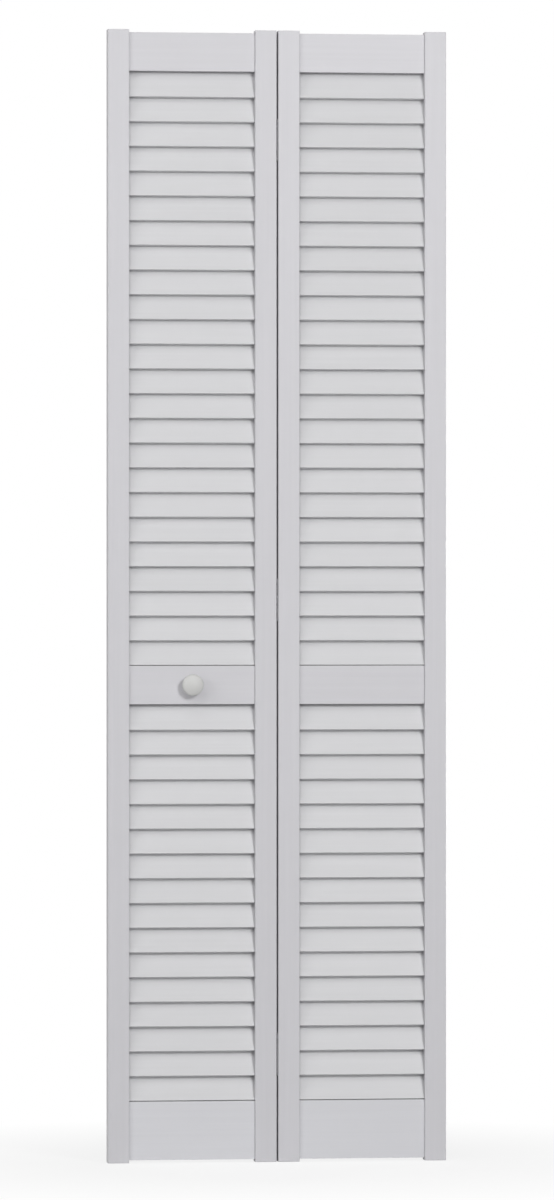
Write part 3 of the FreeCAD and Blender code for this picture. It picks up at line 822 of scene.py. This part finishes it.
class DOOR_OT_hinges(bpy.types.Operator):
    """Three hinges: an outer plate notched round an inner one, knuckles and a tight pin"""
    bl_idname = "bifold_door.hinges"
    bl_label = "Hinges"

    def execute(self, context):
        sizes = context.scene.door_hinge
        finish = context.scene.door_finish
        enamel = enamel_on_pressed_steel(finish.plate_enamel)
        steel = drawn_metal("drawn_bright_steel", finish.pin_steel, 30, 0.3)
        for word in HINGES:
            self.outer_plate(sizes, word, enamel)
            self.inner_plate(sizes, word, enamel)
            self.pin(sizes, word, steel)
        return {"FINISHED"}

    def plate(self, sizes, name, x0, x1, outline):
        """Sheet between two X levels inside an outline of (y, z) points, its edges tumbled."""
        bm = bmesh.new()
        face = bm.faces.new([bm.verts.new((x0, y, z)) for y, z in outline])
        grown = bmesh.ops.extrude_face_region(bm, geom=[face])["geom"]
        verts = [v for v in grown if isinstance(v, bmesh.types.BMVert)]
        bmesh.ops.translate(bm, verts=verts, vec=(x1 - x0, 0, 0))
        bmesh.ops.recalc_face_normals(bm, faces=bm.faces)
        same_level = 1e-4 * MM
        rim = [e for e in bm.edges if abs(e.verts[0].co.x - e.verts[1].co.x) < same_level]
        bmesh.ops.bevel(
            bm, geom=rim, offset=sizes.plate_ease, segments=2, affect="EDGES", profile=0.5,
        )
        return solid(name, bm)

    def plate_end(self, sizes):
        """Level at which the plates end, inside the knuckles."""
        return HINGE_AXIS.y - sizes.barrel_radius * PLATE_END_SHARE

    def knuckle(self, sizes, bore_radius, foot, head):
        """Length of the barrel, bored for the pin and rounded at both ends."""
        e = sizes.barrel_ease
        r = sizes.barrel_radius
        outline = [(bore_radius, foot), (r - e, foot), (r - e / 3, foot + e / 3), (r, foot + e)]
        outline += [(r, head - e), (r - e / 3, head - e / 3), (r - e, head), (bore_radius, head)]
        axis = Vector((HINGE_AXIS.x, HINGE_AXIS.y, 0))
        bm = bmesh.new()
        skin(bm, turned_rings(axis, UP, outline, HEAD_SIDES), closed=True)
        return solid("knuckle", bm)

    def weld(self, piece, others):
        """Joins other pieces of the same sheet to a piece."""
        bm = bmesh.new()
        for part in [piece] + others:
            bm.from_mesh(part.data)
        bm.to_mesh(piece.data)
        bm.free()
        for part in others:
            bpy.data.meshes.remove(part.data)

    def seats(self, sizes, starts, into):
        """Cutters for the countersunk holes of a plate."""
        cutters = []
        for start in starts:
            head = sizes.screw_head_radius * HEAD_HOLE_SHARE
            shank = sizes.screw_radius * SHANK_HOLE_SHARE
            mouth = (head + OVERSHOOT, -OVERSHOOT)
            outline = (mouth, (shank, head - shank), (shank, SEAT_DEPTH))
            bm = bmesh.new()
            skin(bm, turned_rings(start, into, outline, BORE_SIDES))
            cutters.append(solid("seat", bm))
        return cutters

    def outer_plate(self, sizes, word, enamel):
        """Plate of the pivot leaf, notched round the inner plate, with two knuckles."""
        node = word + "_hinge_outer_plate"
        low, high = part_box(node)
        inner_low, inner_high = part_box(word + "_hinge_inner_plate")
        x1 = node_low("pivot_hinge_stile").x
        back = self.plate_end(sizes)
        r = sizes.plate_corner
        notch_low = inner_low.z - sizes.knuckle_gap
        notch_high = inner_high.z + sizes.knuckle_gap
        notch_front = low.y + sizes.plate_strip
        foot, head = (low.y + r, low.z + r), (low.y + r, high.z - r)
        outline = [(back, notch_low), (back, low.z)]
        outline += arc(foot, r, math.pi, 1.5 * math.pi, CORNER_STEPS)
        outline += arc(head, r, 1.5 * math.pi, 2 * math.pi, CORNER_STEPS)
        outline += [(back, high.z), (back, notch_high)]
        outline += [(notch_front, notch_high), (notch_front, notch_low)]
        piece = self.plate(sizes, node + "_enamelled", x1 - sizes.plate_thickness, x1, outline)
        starts = hinge_screw_starts(sizes, "pivot", [word])
        cut(piece, self.seats(sizes, starts, TO_RIGHT))
        bore = node_size(word + "_hinge_pin").x / 2
        knuckles = [
            self.knuckle(sizes, bore, low.z, notch_low),
            self.knuckle(sizes, bore, notch_high, high.z),
        ]
        self.weld(piece, knuckles)
        fit(piece, "pivot_leaf", node, enamel)

    def inner_plate(self, sizes, word, enamel):
        """Plate of the lead leaf, with the knuckle in the middle."""
        node = word + "_hinge_inner_plate"
        low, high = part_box(node)
        x0 = node_high("lead_hinge_stile").x
        back = self.plate_end(sizes)
        outline = [(back, high.z), (back, low.z), (low.y, low.z), (low.y, high.z)]
        piece = self.plate(sizes, node + "_enamelled", x0, x0 + sizes.plate_thickness, outline)
        starts = hinge_screw_starts(sizes, "lead", [word])
        cut(piece, self.seats(sizes, starts, -TO_RIGHT))
        bore = node_size(word + "_hinge_pin").x / 2
        self.weld(piece, [self.knuckle(sizes, bore, low.z, high.z)])
        fit(piece, "lead_leaf", node, enamel)

    def pin(self, sizes, word, steel):
        """Pin through all three knuckles."""
        node = word + "_hinge_pin"
        low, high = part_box(node)
        radius, e = node_size(node).x / 2, sizes.barrel_ease
        outline = (
            (radius - e, low.z), (radius, low.z + e), (radius, high.z - e), (radius - e, high.z),
        )
        axis = Vector((HINGE_AXIS.x, HINGE_AXIS.y, 0))
        bm = bmesh.new()
        skin(bm, turned_rings(axis, UP, outline, BORE_SIDES))
        piece = solid(node + "_drawn", bm)
        fit(piece, "pivot_leaf", node, steel)


def hinge_screw_starts(sizes, leaf, words):
    """Middle of the head of each screw of some hinges on one leaf, in the face of its plate."""
    starts = []
    for word in words:
        outer_low, outer_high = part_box(word + "_hinge_outer_plate")
        inner_low, inner_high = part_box(word + "_hinge_inner_plate")
        level = (outer_low.z + outer_high.z) / 2
        if leaf == "pivot":
            x = node_low("pivot_hinge_stile").x - sizes.plate_thickness
            y = (outer_low.y + STILE_BACK) / 2
            z = (inner_high.z + sizes.knuckle_gap + outer_high.z) / 2 - level
        else:
            x = node_high("lead_hinge_stile").x + sizes.plate_thickness
            y = (inner_low.y + STILE_BACK) / 2
            z = sizes.screw_spacing / 2
        starts += [Vector((x, y, level + side * z)) for side in (1, -1)]
    return starts


def zinc_plated_steel(context):
    """Bright zinc plate, one finish for all the screws: drawing lines are short and close."""
    return drawn_metal("zinc_plated_steel", context.scene.door_finish.zinc, 0.5, 0.28)


def cross_recess(start, into, width, depth):
    """Cutters for the cross-shaped drive recess of a screw head: two tapered bars."""
    beside = into.cross(UP)
    cutters = []
    for long_way, short_way in ((UP, beside), (beside, UP)):
        rings = []
        for level, half_long, half_short in RECESS_BAR:
            middle = start + into * depth * level
            a, b = long_way * width * half_long, short_way * width * half_short
            rings.append([middle + a + b, middle - a + b, middle - a - b, middle + a - b])
        bm = bmesh.new()
        skin(bm, rings)
        cutters.append(solid("recess", bm))
    return cutters


def wood_screw(sizes, start, into):
    """Countersunk wood screw with a cross recess, its head just below the face at start."""
    head, shank = sizes.screw_head_radius, sizes.screw_radius
    outline = (
        (head - RIM_CHAMFER, SCREW_SINK),
        (head, RIM_HEIGHT),
        (shank, head - shank + RIM_HEIGHT),
        (shank, sizes.screw_length - sizes.screw_tip),
        (shank * SCREW_TIP_SHARE, sizes.screw_length),
    )
    bm = bmesh.new()
    skin(bm, turned_rings(start, into, outline, SCREW_SIDES))
    screw = solid("screw", bm)
    cut(screw, cross_recess(start + into * SCREW_SINK, into, *WOOD_RECESS))
    return screw


class DOOR_OT_hinge_screws(bpy.types.Operator):
    """Twelve countersunk wood screws with cross recesses"""
    bl_idname = "bifold_door.hinge_screws"
    bl_label = "Hinge screws"

    def execute(self, context):
        sizes = context.scene.door_hinge
        zinc = zinc_plated_steel(context)
        for leaf, into in (("pivot", TO_RIGHT), ("lead", -TO_RIGHT)):
            node = leaf + "_hinge_screws"
            bm = bmesh.new()
            for start in hinge_screw_starts(sizes, leaf, HINGES):
                screw = wood_screw(sizes, start, into)
                bm.from_mesh(screw.data)
                bpy.data.meshes.remove(screw.data)
            piece = solid(node + "_plated", bm)
            fit(piece, BODIES[leaf], node, zinc)
        return {"FINISHED"}


class DOOR_OT_knob_screw(bpy.types.Operator):
    """Pan-head machine screw that holds the knob, from the back of the rail"""
    bl_idname = "bifold_door.knob_screw"
    bl_label = "Knob screw"

    def execute(self, context):
        sizes = context.scene.door_knob
        zinc = zinc_plated_steel(context)
        start = Vector((KNOB_AXIS.x, RAIL_BACK, KNOB_AXIS.z))
        reach = RAIL_BACK - node_low("knob_screw").y
        radius, height = sizes.screw_head_radius, sizes.screw_head_height
        outline = [
            (radius * math.sin(t), -height + PAN_DOME_SHARE * height * (1 - math.cos(t)))
            for t in PAN_ANGLES
        ]
        outline += [(radius, -PAN_CHAMFER), (radius - PAN_CHAMFER, 0)]
        outline += [(sizes.screw_radius, 0), (sizes.screw_radius, reach)]
        bm = bmesh.new()
        skin(bm, turned_rings(start, FORWARD, outline, HEAD_SIDES))
        piece = solid("knob_screw_plated", bm)
        cut(piece, cross_recess(start - FORWARD * height, FORWARD, *KNOB_RECESS))
        fit(piece, "lead_leaf", "knob_screw", zinc)
        return {"FINISHED"}


class DOOR_OT_stage(bpy.types.Operator):
    """Pale floor, soft studio lamps and the camera"""
    bl_idname = "bifold_door.stage"
    bl_label = "Stage"

    LAMPS = {
        "key": "key_softbox",
        "top": "top_diffuser",
        "side": "side_diffuser",
        "back": "back_diffuser",
    }

    def execute(self, context):
        stage = context.scene.door_stage
        middle = (CAD_LOW + CAD_HIGH) / 2
        self.floor(stage, middle)
        self.room_light(context, stage)
        for word, name in self.LAMPS.items():
            watts = getattr(stage, word + "_power")
            size = getattr(stage, word + "_size")
            self.lamp(name, watts, size, getattr(stage, word + "_place"), middle)
        self.camera(context, stage)
        context.scene.view_settings.view_transform = "Standard"
        return {"FINISHED"}

    def floor(self, stage, middle):
        """Round sheet, finer towards the door."""
        bm = bmesh.new()
        outline = [(radius, 0) for radius in FLOOR_RADII]
        rings = turned_rings(Vector((middle.x, 0, -FLOOR_DROP)), UP, outline, FLOOR_SIDES)
        loops = [[bm.verts.new(corner) for corner in ring] for ring in rings]
        for outer, inner in zip(loops, loops[1:]):
            for i in range(len(outer)):
                bm.faces.new((outer[i - 1], outer[i], inner[i], inner[i - 1]))
        bm.faces.new(loops[-1])
        floor = solid("floor", bm)
        foot = Vector((middle.x, middle.y, 0))
        floor.data.materials.append(matt_paper(stage.floor, stage.floor_bounce, foot))

    def room_light(self, context, stage):
        """White to look at, but with only a little light of its own."""
        world = bpy.data.worlds.new("room")
        world.use_nodes = True
        tree = world.node_tree
        tree.nodes.clear()
        room = add(tree, "ShaderNodeBackground", {"Color": WHITE, "Strength": stage.ambient})
        white = add(tree, "ShaderNodeBackground", {"Color": WHITE, "Strength": 1.0})
        mixed = add(tree, "ShaderNodeMixShader", {
            0: seen_directly(tree), 1: room.outputs[0], 2: white.outputs[0],
        })
        add(tree, "ShaderNodeOutputWorld", {"Surface": mixed.outputs[0]})
        context.scene.world = world

    def lamp(self, name, watts, size, spot, target):
        """Square soft lamp that points at the target."""
        light = bpy.data.lights.new(name, "AREA")
        light.energy = watts
        light.size = size
        lamp = bpy.data.objects.new(name, light)
        lamp.location = spot
        lamp.rotation_euler = (target - Vector(spot)).to_track_quat("-Z", "Y").to_euler()
        bpy.context.scene.collection.objects.link(lamp)

    def camera(self, context, stage):
        """Upright camera, far off, so that level edges stay level."""
        view = bpy.data.cameras.new("camera")
        view.sensor_width = SENSOR_MM
        view.lens = view.sensor_width * stage.camera_distance / stage.field_height
        away = Vector((-math.sin(stage.camera_turn), -math.cos(stage.camera_turn), 0))
        camera = bpy.data.objects.new("camera", view)
        camera.location = Vector(stage.camera_aim) + away * stage.camera_distance
        camera.rotation_euler = (math.pi / 2, 0, -stage.camera_turn)
        context.scene.collection.objects.link(camera)
        context.scene.camera = camera


# ---- Panel and registration ----
PIECES = (
    DOOR_OT_stiles, DOOR_OT_rails, DOOR_OT_slats, DOOR_OT_knob, DOOR_OT_hinges,
    DOOR_OT_hinge_screws, DOOR_OT_knob_screw, DOOR_OT_stage,
)
GROUPS = {
    "door_boards": BoardSettings,
    "door_knob": KnobSettings,
    "door_hinge": HingeSettings,
    "door_finish": FinishSettings,
    "door_stage": StageSettings,
}


class DOOR_PT_panel(bpy.types.Panel):
    """Sizes, finishes and pieces of the door"""
    bl_idname = "DOOR_PT_panel"
    bl_label = "Bifold Door"
    bl_space_type = "VIEW_3D"
    bl_region_type = "UI"
    bl_category = "Bifold Door"

    def draw(self, context):
        for attribute, group in GROUPS.items():
            box = self.layout.box()
            box.label(text=group.__doc__)
            for key in group.__annotations__:
                box.prop(getattr(context.scene, attribute), key)
        for piece in PIECES:
            self.layout.operator(piece.bl_idname)


def register():
    """Adds the settings, the operators and the panel."""
    for group in GROUPS.values():
        bpy.utils.register_class(group)
    for attribute, group in GROUPS.items():
        setattr(bpy.types.Scene, attribute, PointerProperty(type=group))
    for piece in PIECES:
        bpy.utils.register_class(piece)
    bpy.utils.register_class(DOOR_PT_panel)


def unregister():
    """Takes them out again."""
    bpy.utils.unregister_class(DOOR_PT_panel)
    for piece in reversed(PIECES):
        bpy.utils.unregister_class(piece)
    for attribute, group in GROUPS.items():
        delattr(bpy.types.Scene, attribute)
        bpy.utils.unregister_class(group)


def main():
    """Builds the whole scene."""
    register()
    bpy.ops.bifold_door.stiles()
    bpy.ops.bifold_door.rails()
    bpy.ops.bifold_door.slats()
    bpy.ops.bifold_door.knob()
    bpy.ops.bifold_door.hinges()
    bpy.ops.bifold_door.hinge_screws()
    bpy.ops.bifold_door.knob_screw()
    bpy.ops.bifold_door.stage()


if __name__ == "__main__":
    main()
